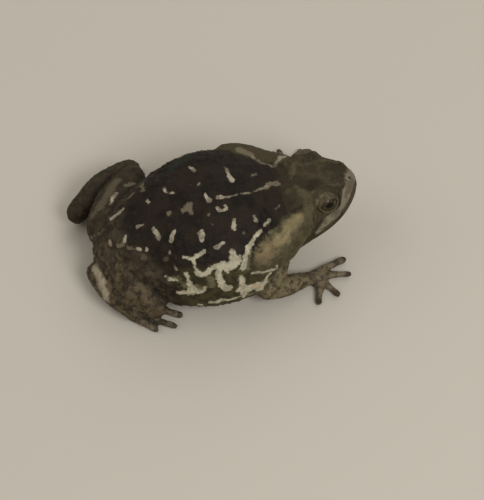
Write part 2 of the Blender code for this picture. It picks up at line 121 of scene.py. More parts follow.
def newPiece(name, mesh, replaced):  # a piece of the one body, hung under its root, with the solids that it replaces hidden
    piece = newObject(name, mesh)
    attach(piece, "root")
    if replaced:
        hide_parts(*replaced)


def gridMesh(name, points, wrapped):  # a grid of points as quads, closed along its rows, and if wrapped also across
    rows, columns = points.shape[:2]
    index = np.arange(rows * columns).reshape(rows, columns)
    beside = np.roll(index, -1, axis=1)
    quads = np.stack((index, beside, np.roll(beside, -1, axis=0), np.roll(index, -1, axis=0)), axis=-1)
    quads = quads[:rows if wrapped else rows - 1].reshape(-1, 4)
    mesh = bpy.data.meshes.new(name)
    mesh.from_pydata(points.reshape(-1, 3), [], quads.tolist())
    mesh.update()
    mesh.shade_smooth()
    return mesh


# Strokes and marks: each is its points, then half its width in millimetres, or that at its start and end
marks = {
    "net": (  # the cream network on the flank, the toad's right side
        (((45, -35.5, 49), (47.5, -37, 49), (49.5, -38, 49)), 0.8),
        (((49.5, -38, 49), (52, -37.5, 50.5), (56, -36.5, 52)), (0.8, 0.6)),
        (((49.5, -38, 49), (50, -41, 46.5), (50.5, -43.5, 43.5)), (0.7, 1.0)),
        (((50.5, -43.5, 43.5), (53.5, -45, 42.5), (56, -45, 43.5)), (1.0, 1.5)),
        (((56, -45, 43.5), (59, -44, 46), (64, -44, 47)), (1.3, 1.5)),
        (((64, -44.5, 47), (69.5, -46, 47), (72.5, -44, 47.5)), (1.5, 2.3)),
        (((71, -44.5, 48), (71, -40, 51)), (2.2, 1.2)),
        (((72.5, -43.5, 48), (74, -42, 49)), (1.2, 0.7)),
        (((95.5, -24.5, 52.5), (92, -28, 52.5), (88, -31.5, 52.5)), (0.3, 0.6)),
        (((88, -31.5, 52.5), (84.5, -34.5, 52), (79.5, -39.5, 50.5)), (0.6, 1.1)),
        (((79.5, -39.5, 50), (76.5, -44.5, 46), (75, -46.5, 43.5)), (1.3, 1.5)),
        (((62.5, -44.5, 46), (61.5, -46.5, 43.5), (63, -50, 36)), (1.6, 1.9)),
        (((63, -50, 36), (64.5, -51, 33), (67, -51, 33.5)), (1.9, 1.6)),
        (((65.5, -45.5, 45.5), (66, -46.5, 44)), (1.2, 0.9)),
        (((44.5, -42, 41.5), (46, -45, 36.5)), (0.7, 1.3)),
        (((46, -45, 36.5), (47, -46.5, 34), (46.5, -47, 30.5)), (1.3, 1.7)),
        (((46.5, -47, 30.5), (42.5, -45.5, 29), (40, -44, 28.5)), (1.6, 1.0)),
        (((46.5, -46.5, 33), (49.5, -48, 30.5), (52.5, -49, 32), (53.5, -48.5, 35)), (1.1, 0.6)),
        (((34.5, -38, 37.5), (35.5, -39.5, 36.5), (39.5, -41.5, 37)), 0.5),
        (((56, -50, 20.5), (59, -51, 20.5), (62, -51.5, 23.5)), 1.2),
        (((62, -51.5, 23.5), (66.5, -52, 21.5), (72.5, -51.5, 22.5)), 0.7),
        (((51, -48, 17),), 1.4),
        (((72, -51.5, 29.5), (75, -51, 30), (79, -50.5, 28)), (1.7, 2.8)),
        (((79, -50.5, 28), (82.5, -49.5, 27), (85, -48.5, 21.5)), (2.8, 2.1)),
        (((74.5, -51.5, 27), (74.5, -51, 19.5)), (1.8, 1.0)),
        (((73.5, -51.5, 30.5), (74, -50, 36.5), (73.5, -49, 39.5)), (1.5, 1.3)),
        (((85, -48.5, 22), (88, -47, 25), (89, -46.5, 29)), (1.8, 1.3)),
        (((89, -46.5, 29), (91, -45, 30.5), (94, -47, 40)), (1.3, 0.5)),
        (((79.5, -48, 39), (83.5, -48.5, 40.5), (87.5, -49, 40), (92, -47.5, 38)), 0.7),
    ),
    "wash": (  # duller cream beside it
        (((80, -39.5, 50), (78, -43, 47), (77, -46, 44)), (1.4, 3.0)),
        (((48.5, -46.5, 35), (52, -48.5, 33.5)), 1.6),
        (((56.5, -47, 41), (57.5, -49, 36.5)), 2.0), (((78, -45.5, 44), (79.5, -47.5, 40.5)), (1.6, 1.2)),
        (((75, -51.5, 23.5), (80, -49.5, 19.5)), 1.8), (((88, -48, 36), (91, -46, 33)), 2.0),
        (((40, -41, 38), (43, -44, 34)), 1.6), (((86, -46, 19), (92, -42, 18)), 2.0),
    ),
    "pinkNet": ((((80.5, -50.5, 28.5), (83, -49.5, 26)), 1.6),),  # a pinkish patch of the cream
    "tan": ((((110, -25.5, 49.5), (102, -32.5, 47.5), (93.5, -37.5, 46.5), (88, -41.5, 45.5)), (4.0, 5.2)),),
    "pink": ((((92.5, -39, 46), (86.5, -44, 44)), 3.8),),  # the lower end of the near gland
    "front": (  # dull pale patches in front of the arm
        (((112, -33.5, 40), (106, -39.5, 36)), 1.6), (((102, -42, 38), (97, -44.5, 36)), 1.2),
    ),
    "spots": (  # pale spots on the tips of warts
        (((68.7, -15.6, 60), (69.3, -18, 60), (73, -17.2, 60), (73, -15, 60)), 1.0),
        (((59.5, 17, 56.5), (62, 12.5, 58)), (0.9, 1.3)), (((79.5, 11, 58), (79.5, 5, 59)), 0.8),
        (((79.5, 3.5, 59), (80.5, 0, 59)), 1.5), (((62, 2, 60),), 1.3),
        (((43, 7.5, 55.5), (44, 3.5, 56.5), (47, 1, 57.5)), (0.6, 0.9)),
        (((64, -5.5, 60.5), (65, -10, 60.5)), (0.7, 1.6)),
        (((70.5, -9.5, 60.5), (72.5, -10, 60.5)), 1.2), (((75.5, -25, 59.5), (74.5, -28, 57)), (1.3, 1.7)),
        (((87, -23, 56.5), (87.5, -25.5, 55.5)), (0.6, 0.9)), (((56.5, -27.5, 56.5), (56, -31, 55.5)), (1.9, 1.4)),
        (((42.5, -22, 55.5), (40, -25.5, 52.5)), (0.8, 1.2)), (((32.5, -15.5, 51.5), (34, -21, 51)), (1.0, 1.7)),
        (((24.5, -9.5, 48), (27.5, -10.5, 50)), (1.0, 0.7)), (((62.5, -36.5, 53.5), (67, -35, 54.5)), (1.3, 1.0)),
        (((38, -30.5, 49),), 1.0), (((26.7, -23.8, 45.2),), 1.2), (((22, -20.5, 43.3), (23.5, -22, 44)), 0.8),
        (((17, -11, 42.5), (16, -13, 41.5)), 0.9), (((9, -7, 35), (9, -9, 35)), 0.9),
        (((20, 6.2, 43), (15.5, 5.3, 39.8), (12.5, 5.5, 37.5)), (1.4, 1.1)), (((33, 3.5, 52), (33.5, 1.5, 52.5)), 0.8),
        (((14.5, 18, 34.5), (16.5, 21.5, 34.5), (19.5, 24.5, 34)), (0.7, 0.9)),
        (((39.5, -37, 44.5), (40, -38.5, 43)), (0.6, 0.9)), (((99.5, -19.5, 53), (104, -16.5, 52)), (0.6, 0.4)),
    ),
    "faint": (  # duller marks of the back, the groin and the far leg
        (((50.3, -11.8, 58.8), (54.6, -9.2, 59.2)), (2.0, 1.6)), (((52.6, -11, 59), (53.8, -14.2, 58.8)), (2.1, 1.5)),
        (((92, 3, 56), (95, 4.5, 55)), 0.9), (((42.5, -10.5, 56.5),), 1.4),
        (((62.5, -18.5, 59.5),), 1.1), (((79, -31.5, 55),), 0.8),
        (((63.5, -24, 58.5),), 0.5), (((34, 1.5, 52.5),), 0.8),
        (((25.5, 29.5, 32), (30.5, 31.5, 29)), 1.2), (((32, 18.5, 45), (34, 20, 45)), 1.2),
        (((33.5, 19.5, 45), (32.5, 12.5, 49)), 1.1), (((25, 14, 43), (27.5, 15.5, 44)), 1.2), (((23, 22, 33),), 1.3),
        (((12, -12.5, 37.5), (15, -14, 40)), 0.9), (((17, -16.5, 40.5), (20, -19, 42)), 0.9),
        (((0.5, 4.5, 24.5), (4.5, 3, 29), (8, 2, 33.5)), (0.9, 0.7)),
        (((91, 28, 46.5), (97, 22, 47)), (2.0, 1.3)),
        (((97.5, -6, 55), (101, -3, 54), (105.5, -3, 53)), (1.2, 1.5)), (((8.5, -7, 34.5), (9, -9, 35)), 0.8),
    ),
    "dim": (  # broad dull patches of the thighs
        (((3.5, 15, 31), (9.5, 19.5, 33.5), (16, 27.5, 33), (21.5, 34.5, 31.5)), 2.2), (((25, -32.5, 34.5),), 1.6),
        (((24.5, -26, 41.5),), 1.4), (((14.5, -36.5, 23.5),), 2.0), (((35.5, -33, 45.5),), 1.2),
    ),
    "lines": (  # the line down the spine and the pale edge of the left gland
        (((99, -4.5, 54.5), (89.5, -8.5, 57.5)), (0.9, 0.6)),
        (((89.5, -8.5, 57.5), (80.5, -9.5, 59.5), (73, -10.5, 60.5)), 0.45),
        (((97, 20.5, 47.5), (100.5, 15, 49), (104.5, 12.5, 49)), (0.9, 0.8)),
        (((104.5, 12.5, 49), (107, 11, 49.5)), (0.8, 1.1)),
        (((107, 11, 49.5), (109, 13, 49.5), (111.5, 15, 50)), 1.1), (((111.5, 15, 50), (116, 15.5, 50)), (1.1, 0.4)),
    ),
    "green": (  # a dark green tinge on the far side of the back and on the far shank
        (((52, 22, 54), (60, 27, 51)), 3.0), (((12, 46, 22), (20, 50, 22)), 2.4),
    ),
    "streak": (  # the pale streak on the gland of the near shank
        (((0, -10.5, 18.8), (0.2, -18, 20.3)), (2.4, 3.0)),
        (((0.2, -18, 20.3), (1.2, -24.3, 18.7), (2.6, -29.5, 14.8)), (3.0, 3.1)),
    ),
    "dark": (  # the toad's own dark patches between the eyes and behind the crest on each side, and painted shade in the crease where the near thigh meets the shank
        (((122.5, -9.5, 51.5), (124, -5.5, 51), (130.5, -6, 50.5)), (2.0, 1.3)),
        (((111, -14.5, 51.5), (110, -18, 50.5)), 3.2), (((106, 3, 52), (104, 9, 51)), 3.0),
        # painted shade in the crease between the near thigh and the shank
        (((5.5, -21.5, 28), (6.5, -28, 21.5), (8.5, -35.5, 17.5), (13, -42.5, 14)), 1.1),
    ),
}
# Lines of the head along the spine, out from it and up
headLines = {
    "mouth": ((((116.5, 24.6, 28.9), (121, 23.7, 29.5), (129, 21.5, 30.9), (136, 18.3, 32.3), (142, 14.1, 33.7),
                (147, 9.3, 34.9), (150.3, 4.8, 35.8), (151.4, 0, 36.3)), 0.0),),
    "crest": ((((146, 5, 46), (142, 7.4, 48), (138, 9.2, 49.5), (133, 8.6, 51.5), (126, 8.4, 52.5),
                (121, 10.5, 52.8)), 0.5),
              (((114, 3, 53.2), (118, 8, 53), (119.5, 13, 52), (117.5, 18.5, 49), (115.5, 23, 43),
                (114.5, 25.3, 37)), 0.6)),
    "fold": ((((115.5, 6.5, 52.5), (117, 9.5, 52), (117, 13.5, 51), (116.5, 17, 50.5), (115, 20, 50)), (1.2, 1.9)),
             (((115, 20, 50), (114.5, 25, 45), (114, 25, 37.5), (113, 25.5, 33.5)), (1.9, 0.9))),
    "crease": ((((134, 15, 50.5), (133.7, 18, 48.5), (132.3, 19.4, 46), (130, 20.2, 45)), 0.35),),
    "lidTop": ((((121.5, 16.5, 53), (123, 19.5, 49)), 0.9), (((124.5, 15.5, 54), (128, 15.5, 54)), 1.5)),
    "nostril": ((((145.5, 5.4, 45.6),), 0.0),),
}
rightBand = (  # the broad pale band above the near lip, and a narrow one above the far lip
    (((150.5, 0, 40.8), (146, 4.4, 43.4), (143.6, 8.8, 44.4), (139.6, 12.8, 44), (136.4, 16.3, 42.5),
      (132.7, 19.3, 41)), (3.8, 4.1)),
    (((132.7, 19.3, 41), (128.7, 21.2, 40.3), (125, 22.7, 39.1), (121.5, 23.7, 37.1), (119.5, 24.5, 35)), (4.0, 2.0)),
)
leftBand = (
    (((150.8, 0, 41), (148.5, 6.5, 40), (142.5, 12.5, 38), (136.5, 17.3, 36.5), (130.5, 21, 35),
      (123, 23.6, 33)), 1.8),
)
digitTips = (  # ahead and left: right hand, left hand, right foot, left foot
    (138, -28.5), (138.5, -38.5), (129, -49.5), (117.5, -52.5), (140, 31), (141, 41), (133, 50.5), (121, 53),
    (26, -33.5), (33, -37), (40, -42.5), (35.5, -49), (25, -49),
    (25, 42.5), (33, 45.5), (41, 51.5), (38, 59.5), (25, 60),
)
mirrorPlan = {
    "top": 47,  # mm up: only strokes below it are repeated on the left
    "moved": (-4.0, 0, 1.5),  # mm ahead, left and up
    "narrowed": 0.9,
}
# Values that the skin's material reads: distances to marks, soft masks of parts, and a few more
partNames = {  # masks by the solids that they take in
    "head": ("head",), "gland": ("parotoid",), "limb": ("thigh", "shank"), "arm": ("upper_arm", "forearm"),
    "paw": ("hand", "foot"),
}
skinGaps = (*marks, *headLines, "band", "ear", "tip")
partMasks = (*partNames, "under", "flank", "groin")
# the far side's mask and the two hollow values drive painted shade
otherValues = ("wart", "farSideShade", "nearSide", "hollowShade", "deepShade")


def strokeGap(points, strokes):  # distance to the nearest stroke's middle line less half its width there
    gap = np.full(len(points), farOff)
    for line, halfWidth in strokes:
        line = np.array(line, float)
        wide, narrow = np.broadcast_to(halfWidth, 2)
        if len(line) == 1:
            line = np.repeat(line, 2, axis=0)
        for number, (start, end) in enumerate(zip(line, line[1:])):
            span = end - start
            share = np.clip((points - start) @ span / max(span @ span, tiny), 0, 1)
            half = wide + (narrow - wide) * (number + share) / (len(line) - 1)
            gap = np.minimum(gap, np.linalg.norm(points - start - share[:, None] * span, axis=1) - half)
    return gap


def onSides(strokes, sides=(1, -1)):  # head lines as strokes left and right of the spine
    placed = []
    for line, halfWidth in strokes:
        along, out, up = np.array(line, float).T
        placed += [(place(along, side * out, up), halfWidth) for side in sides]
    return placed


def mirrored(strokes):  # the lower strokes across the spine, a little moved
    moved = []
    for line, halfWidth in strokes:
        line = np.array(line, float)
        if line[:, 2].max() > mirrorPlan["top"]:
            continue
        line[:, 1] = 2 * spineLeft(line[:, 0]) - line[:, 1]
        moved.append((line + mirrorPlan["moved"], np.multiply(halfWidth, mirrorPlan["narrowed"])))
    return moved


# Skin
skinPlan = {
    "weld": 0.01,  # mm, merges the corners that a solid's triangles share
    "voxel": 0.93,  # mm between points before the head is refined
    "grow": 0.35,  # mm, closes the gaps between the solids
    "shrink": 0.30,  # mm, taken off again with the relief
    "passes": 36,  # of smoothing
    "relax": 0.5, "pushBack": 0.175,  # how far a pass moves a point, and back again
    "softness": {"torso": 1.0, "head": 0.25, "parotoid": 0.35, "hand": 0.12, "foot": 0.12, "": 0.4},
    "softPasses": 4,  # spread the step from one softness, a share of each pass, to the next
    "throatUp": 27.0, "throatSoftness": 0.9,  # below this height the head is smoothed nearly as the torso is
    "headFrom": 112, "chinUp": 24,  # mm, where the head is refined
    "headPasses": 2, "headRelax": 0.4,  # smoothing once it is
    "maskPasses": 6, "edgePasses": 14, "maskRelax": 0.6,  # for the soft masks, and for the glands' rise
    "ear": (119.5, 24.0, 39.8),  # along, out and up, mm
    "earSquash": (1, 0.6, 0.85),  # an eardrum is higher than it is long
    "tipUp": 2,  # mm, height of the digits' tips
    "hollowPasses": (2, 0.5), "deepPasses": (12, 0.6), "deepGain": 3,  # passes and strength, and a gain
    "hollowFull": 0.06,  # mm below its neighbours' mean that makes a point a hollow
    "farSideShade": (0, 8), "nearSide": (-8, 0),  # mm left, and right, of the chord where they start and are full; the far side's mask paints shade on the far leg and gland
    "block": 4000,  # points worked out at a time
}
flesh = sorted(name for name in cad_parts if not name.startswith("eye_"))


def joinedFlesh():  # every flesh solid, its doubles merged and its surface grown, as one mesh
    allPoints, allFaces, labels, used = [], [], [], 0
    for label, name in enumerate(flesh):
        solid = bmesh.new()
        solid.from_mesh(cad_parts[name].data)
        bmesh.ops.remove_doubles(solid, verts=solid.verts, dist=skinPlan["weld"] * mm)
        data = bpy.data.meshes.new("solidCopy")
        solid.to_mesh(data)
        solid.free()
        points, normals = readPoints(data), readPoints(data, "vertex_normals", "vector")
        data.calc_loop_triangles()
        faces = np.empty(len(data.loop_triangles) * 3, np.int32)
        data.loop_triangles.foreach_get("vertices", faces)
        allPoints.append(points + normals * skinPlan["grow"] * mm)
        allFaces.append(faces.reshape(-1, 3) + used)
        labels.append(np.full(len(points), label))
        used += len(points)
        bpy.data.meshes.remove(data)
    return np.concatenate(allPoints), np.concatenate(allFaces), np.concatenate(labels)


def remeshed(points, faces):  # one closed surface round them all, on a grid of small cells
    mesh = bpy.data.meshes.new("fleshJoined")
    mesh.from_pydata(points, [], faces.tolist())
    mesh.update()
    helper = newObject("fleshJoined", mesh)
    modifier = helper.modifiers.new("cells", "REMESH")
    modifier.mode = "VOXEL"
    modifier.voxel_size = skinPlan["voxel"] * mm
    graph = bpy.context.evaluated_depsgraph_get()
    made = bpy.data.meshes.new_from_object(helper.evaluated_get(graph))
    bpy.data.objects.remove(helper)
    return made


def edgeEnds(mesh):  # the points at the two ends of every edge
    ends = np.empty(len(mesh.edges) * 2, np.int32)
    mesh.edges.foreach_get("vertices", ends)
    return ends.reshape(-1, 2).T


def neighbourMean(values, ends):  # the mean of each point's neighbours along the edges
    one, two = ends
    count = len(values)
    near = np.bincount(one, minlength=count) + np.bincount(two, minlength=count)
    total = [np.bincount(one, column[two], count) + np.bincount(two, column[one], count) for column in values.T]
    return np.stack(total, axis=1) / np.maximum(near, 1)[:, None]


def smoothed(values, ends, passes, strength):  # each pass moves a value part of the way to its neighbours' mean
    values = values.reshape(len(values), -1)
    for _ in range(passes):
        values = values + strength * (neighbourMean(values, ends) - values)
    return values if values.shape[1] > 1 else values[:, 0]


def nearestLabel(points, others, labels):  # the solid that each point is nearest to, from squared distances in blocks
    found = np.empty(len(points), int)
    size = (others**2).sum(axis=1)
    for start in range(0, len(points), skinPlan["block"]):
        block = slice(start, start + skinPlan["block"])
        found[block] = labels[np.argmin(size - 2 * points[block] @ others.T, axis=1)]
    return found


def refineHead(mesh):  # halves every edge of the head and the glands
    spots = fromRow(readPoints(mesh))
    fine = bmesh.new()
    fine.from_mesh(mesh)
    fine.edges.ensure_lookup_table()
    one, two = edgeEnds(mesh)
    onHead = spots[:, 0] > skinPlan["headFrom"]
    chosen = np.flatnonzero(onHead[one] & onHead[two] & (spots[one, 2] > skinPlan["chinUp"]))
    bmesh.ops.subdivide_edges(fine, edges=[fine.edges[i] for i in chosen], cuts=1, use_grid_fill=True)
    fine.to_mesh(mesh)
    fine.free()


wartPlan = {  # region, size of the cells that may hold one, radii and heights in mm, how often one does, and the seed
    "backBig": ("back", 6.8, (1.5, 3.2), (0.45, 1.1), 0.8, 11),
    "backMiddle": ("back", 3.9, (0.9, 1.8), (0.25, 0.6), 0.6, 19),
    "backSmall": ("back", 2.3, (0.7, 1.1), (0.1, 0.28), 0.7, 12),
    "flank": ("side", 3.0, (0.9, 1.7), (0.35, 0.6), 0.85, 13),
    "limb": ("limbs", 2.7, (0.8, 1.5), (0.2, 0.42), 0.8, 14),
    "head": ("head", 2.2, (0.6, 0.95), (0.08, 0.2), 0.7, 15),
    "gland": ("gland", 3.4, (1.5, 2.3), (0.15, 0.3), 0.9, 16),
    "belly": ("under", 2.2, (0.8, 1.2), (0.12, 0.2), 0.9, 17),
    "paw": ("paw", 2.2, (0.7, 1.1), (0.12, 0.25), 0.8, 18),
}
wartMask = {"seed": 0.5, "edge": 0.05, "fade": 2}  # where a wart may stand and reach, and how fast the edge fades it


def wartHeights(points, where, settings):  # the highest of round bumps h(1-(d/r)^2)^2, a seed in each cell
    cell, radii, heights, often, seed = settings
    draw = np.random.default_rng(seed)
    order = draw.permutation(np.flatnonzero(where > wartMask["seed"]))
    cells = np.floor(points[order] / cell).astype(int)
    _, first = np.unique(cells, axis=0, return_index=True)
    seeds = order[first]
    seeds = seeds[draw.random(len(seeds)) < often]
    radius = draw.uniform(*radii, len(seeds))
    height = draw.uniform(*heights, len(seeds))
    lift = np.zeros(len(points))
    near = np.flatnonzero(where > wartMask["edge"])
    spots, size = points[seeds], (points[seeds]**2).sum(axis=1)
    for start in range(0, len(near), skinPlan["block"]):
        chosen = near[start:start + skinPlan["block"]]
        block = points[chosen]
        apart = np.maximum(size - 2 * block @ spots.T + (block**2).sum(axis=1)[:, None], 0) / radius**2
        lift[chosen] = (height * np.maximum(0, 1 - apart)**2).max(axis=1)
    return lift * np.clip(where * wartMask["fade"], 0, 1)


def ramp(values, low, high):  # 0 below low, 1 above high, and the smooth step 3s^2 - 2s^3 between
    share = np.clip((values - low) / (high - low), 0, 1)
    return share * share * (3 - 2 * share)


eyePlan = {
    "at": (126.8, 13.6, 46.5),  # along, out and up, mm
    "radius": 7.3,
    "gazeTilt": 24.5,  # degrees that the eye looks up
    "swing": 3.0,  # and forward
    "pupil": (2.4, 1.7),  # half width and half height, mm
    "iris": 5.6,  # mm from the gaze to the iris's edge
    "pole": 0.004,  # angle at each pole that one face closes
    "frontRings": (1.35, 60),  # angle from the gaze that the fine rings reach, and how many there are
    "backRings": (1.45, 20),  # and for the coarse ones behind
    "sides": 96,  # points round the gaze
}
lidPlan = {
    "tilt": 24.5,  # degrees that the lids' opening looks up
    "opening": (43.0, 27.0),  # half angles of the opening, across and up
    "socket": (63.0, 60.0),  # and of the lids' outer edge
    "corners": 0.25,  # how sharp the opening's corners are
    "thick": (1.35, 0.9),  # mm, upper and lower
    "blend": 0.5,  # how high up the sides one passes into the other
    "socketThick": 0.3,  # share of it that is left at the socket
    "rim": 8,  # power of the rim's rounding, square for a high one
    "fold": (0.3, 0.5, 0.1),  # share that the fold takes away, how far in it lies, and its width
    "clear": 0.1,  # mm between the ball and the lids
    "sides": (144, 40),  # points round the eye and round the profile
}


def eyeFrame(side, tilt):  # centre, and the axes outwards, ahead and up, of an eye turned up by tilt
    along, out, up = eyePlan["at"]
    centre = place(along, side * out, up)
    turn = float(heading(along)) - side * math.radians(eyePlan["swing"])
    lean = math.radians(tilt)
    plan = np.array(((math.cos(turn), -math.sin(turn), 0), (math.sin(turn), math.cos(turn), 0), (0, 0, 1)))
    outward, ahead = plan @ (0, side * math.cos(lean), math.sin(lean)), plan @ (1.0, 0, 0)
    up = np.cross(outward, ahead) * side
    return centre, outward, ahead, up * (-1 if up[2] < 0 else 1)


zones = {  # mm where each region starts and is full; heights and stations are negative where it grows down or back
    "jawAlong": (90, 112, 121, 136, 151),  # stations and heights of the pale underside's edge
    "jawUp": (9, 22, 28.5, 32.0, 35.5),
    "under": (-0.5, 5.0),  # below that edge
    "sideOut": (30, 38), "sideAlong": (36, 46),
    "flankDown": (-49, -43),
    "groinBack": (-42, -30), "groinDown": (-47, -38),
}


def skinRegions(spots, labels, ends):  # soft masks of the parts of the body, from the nearest solid and the place
    def mask(*starts, passes=skinPlan["maskPasses"]):
        chosen = [number for number, name in enumerate(flesh) if name.startswith(starts)]
        return smoothed(np.isin(labels, chosen).astype(float), ends, passes, skinPlan["maskRelax"])
    regions = {name: mask(*starts) for name, starts in partNames.items()}
    trunk = mask("torso")
    along, up = spots[:, 0], spots[:, 2]
    fromSpine = np.abs(spots[:, 1] - spineLeft(along))
    jaw = np.interp(along, zones["jawAlong"], zones["jawUp"])
    regions["under"] = ramp(jaw - up, *zones["under"]) * np.clip(trunk + regions["head"], 0, 1)
    side = trunk * ramp(fromSpine, *zones["sideOut"]) * (1 - regions["under"]) * ramp(along, *zones["sideAlong"])
    regions["side"] = side
    regions["back"] = np.clip(trunk - side - regions["under"], 0, 1)
    regions["flank"] = side * ramp(-up, *zones["flankDown"])
    groin = trunk * ramp(-along, *zones["groinBack"]) * ramp(-up, *zones["groinDown"])
    regions["groin"] = groin * (1 - regions["under"])
    regions["limbs"] = np.clip(regions["limb"] + regions["arm"], 0, 1)
    regions["glandEdge"] = mask("parotoid", passes=skinPlan["edgePasses"])
    return regions


ridges = (  # line, height of its ridge or groove, how far from the line it runs, and its width, all in mm
    ("mouth", -0.55, 0.0, 0.55), ("mouth", 0.35, 1.6, 1.0), ("crease", -0.35, 0.0, 0.5), ("fold", 0.3, 0.0, 1.6),
    ("nostril", -1.3, 0.0, 1.0), ("nostril", 0.35, 2.0, 0.7), ("ear", -0.4, 0.0, 1.7), ("ear", 0.4, 2.3, 0.5),
)


def skinSurface():  # the joined and smoothed surface, and the solid that each point belongs to
    points, faces, labels = joinedFlesh()
    mesh = remeshed(points, faces)
    ends = edgeEnds(mesh)
    co = readPoints(mesh)
    label = nearestLabel(co, points, labels)
    soft = [next(value for start, value in skinPlan["softness"].items() if name.startswith(start)) for name in flesh]
    onThroat = (label == flesh.index("head")) & (fromRow(co)[:, 2] < skinPlan["throatUp"])
    soft = smoothed(np.where(onThroat, skinPlan["throatSoftness"], np.array(soft)[label]), ends,
                    skinPlan["softPasses"], skinPlan["maskRelax"])[:, None]
    for _ in range(skinPlan["passes"]):  # each pass smooths, then pushes part of the way back against shrinking
        co = co + skinPlan["relax"] * soft * (neighbourMean(co, ends) - co)
        co = co - skinPlan["pushBack"] * soft * (neighbourMean(co, ends) - co)
    writePoints(mesh, co)
    refineHead(mesh)
    writePoints(mesh, smoothed(readPoints(mesh), edgeEnds(mesh), skinPlan["headPasses"], skinPlan["headRelax"]))
    label = nearestLabel(readPoints(mesh), points, labels)
    print("skin surface", len(mesh.vertices), "points")
    return mesh, label


reliefPlan = {
    "seed": 5,
    "ripple": 0.10, "ripplePasses": 26, "rippleOffHead": 0.5,  # mm, its spread, and how much less the head has
    "broad": 0.22, "broadPasses": 160, "broadOffHead": 0.6,
    "spread": 0.9,  # how far each pass carries the random values
    "mouthClear": 2.2,  # mm by the mouth without warts
    "crestClear": 1.5, "crestSmooth": 0.7,  # mm by the crests, and how much lower warts are there
    "eyeWarts": (0.6, 1.6), "eyeUneven": (0.4, 2.0),  # mm from the eyeball where they start and are full
    "glandRise": 0.9, "glandEdge": (0.35, 1.0),  # mm, and the part of the mask that it climbs in
    "wartFull": 0.6,  # mm, a wart whose tip is coloured in full
}


def skinLift(spots, ends, regions, gaps):  # relief in mm along the normals, and how much of it is wart
    plan = reliefPlan
    draw = np.random.default_rng(plan["seed"])
    ripple = smoothed(draw.normal(size=(len(spots), 2)), ends, plan["ripplePasses"], plan["spread"])
    broad = smoothed(ripple[:, 1], ends, plan["broadPasses"], plan["spread"])
    ripple, broad = ripple[:, 0] / ripple[:, 0].std(), broad / broad.std()
    warts = np.zeros(len(spots))
    for zone, *settings in wartPlan.values():
        warts = np.maximum(warts, wartHeights(spots, regions[zone], settings))
    eyeGap = np.full(len(spots), farOff)
    for side in (1, -1):
        centre = eyeFrame(side, lidPlan["tilt"])[0]
        eyeGap = np.minimum(eyeGap, np.linalg.norm(spots - centre, axis=1) - eyePlan["radius"])
    clear = 1 - np.exp(-(gaps["mouth"] / plan["mouthClear"])**2)
    byCrest = np.exp(-(np.maximum(gaps["crest"], 0) / plan["crestClear"])**2)
    warts = warts * clear * (1 - plan["crestSmooth"] * byCrest) * ramp(eyeGap, *plan["eyeWarts"])
    uneven = plan["ripple"] * ripple * (1 - plan["rippleOffHead"] * regions["head"])
    uneven = uneven + plan["broad"] * broad * (1 - regions["paw"]) * (1 - plan["broadOffHead"] * regions["head"])
    lift = warts + ramp(eyeGap, *plan["eyeUneven"]) * clear * uneven
    lift = lift + plan["glandRise"] * ramp(regions["glandEdge"], *plan["glandEdge"])
    for name, height, far, width in ridges:
        lift = lift + height * np.exp(-((gaps[name] - far) / width)**2)
    return lift, warts


def makeSkin():  # the surface raised by its relief along its normals, kept in the solids' box, with its values
    mesh, label = skinSurface()
    co, ends = readPoints(mesh), edgeEnds(mesh)
    normals = readPoints(mesh, "vertex_normals", "vector")
    spots = fromRow(co)
    regions = skinRegions(spots, label, ends)
    gaps = {name: strokeGap(spots, strokes) for name, strokes in marks.items()}
    gaps.update({name: strokeGap(spots, onSides(strokes)) for name, strokes in headLines.items()})
    for name in ("net", "wash"):
        gaps[name] = np.minimum(gaps[name], strokeGap(spots, mirrored(marks[name])))
    gaps["band"] = strokeGap(spots, onSides(rightBand, (-1,)) + onSides(leftBand, (1,)))
    gaps["ear"] = np.full(len(spots), farOff)
    along, out, up = skinPlan["ear"]
    for side in (1, -1):  # an eardrum at the point of the skin nearest its place
        ear = spots[np.argmin(np.linalg.norm(spots - place(along, side * out, up), axis=1))]
        gaps["ear"] = np.minimum(gaps["ear"], np.linalg.norm((spots - ear) * skinPlan["earSquash"], axis=1))
    gaps["tip"] = strokeGap(spots, [(((ahead, left, skinPlan["tipUp"]),), 0.0) for ahead, left in digitTips])
    lift, warts = skinLift(spots, ends, regions, gaps)
    co = np.clip(co + normals * ((lift - skinPlan["shrink"]) * mm)[:, None], *np.array(cadBox))
    writePoints(mesh, co)
    mesh.shade_smooth()
    under = (neighbourMean(co, ends) - co) * 1000
    under = (under * readPoints(mesh, "vertex_normals", "vector")).sum(axis=1)
    hollowShade = smoothed(under, ends, *skinPlan["hollowPasses"]) / skinPlan["hollowFull"]
    values = {  # these two say how far a point lies under its neighbours, near and wide, and drive painted shade in the hollows
        "hollowShade": hollowShade,
        "deepShade": skinPlan["deepGain"] * smoothed(hollowShade, ends, *skinPlan["deepPasses"]),
        "farSideShade": ramp(spots[:, 1], *skinPlan["farSideShade"]),
        "nearSide": ramp(-spots[:, 1], *skinPlan["nearSide"]),
        "wart": np.clip(warts / reliefPlan["wartFull"], 0, 1),
    }
    values.update({name + "Gap": gaps[name] for name in skinGaps})
    values.update({name + "Part": regions[name] for name in partMasks})
    writeValues(mesh, values)
    newPiece("skin", mesh, flesh)
    mesh.materials.append(skinMaterial())
    mesh.calc_loop_triangles()
    print("skin", len(mesh.loop_triangles), "triangles")


def linear(hexColour):  # sRGB hex to linear, with the standard curve
    parts = np.array([int(hexColour[i:i + 2], 16) for i in (1, 3, 5)]) / 255
    parts = np.where(parts <= 0.04045, parts / 12.92, ((parts + 0.055) / 1.055)**2.4)
    return (*map(float, parts), 1.0)


def addNode(tree, kind, settings, inputs):  # one node with its settings, its inputs set or linked
    made = tree.nodes.new(kind)
    for name, value in settings.items():
        setattr(made, name, value)
    for key, value in inputs.items():
        if isinstance(value, bpy.types.NodeSocket):
            tree.links.new(value, made.inputs[key])
        else:
            made.inputs[key].default_value = value
    return made


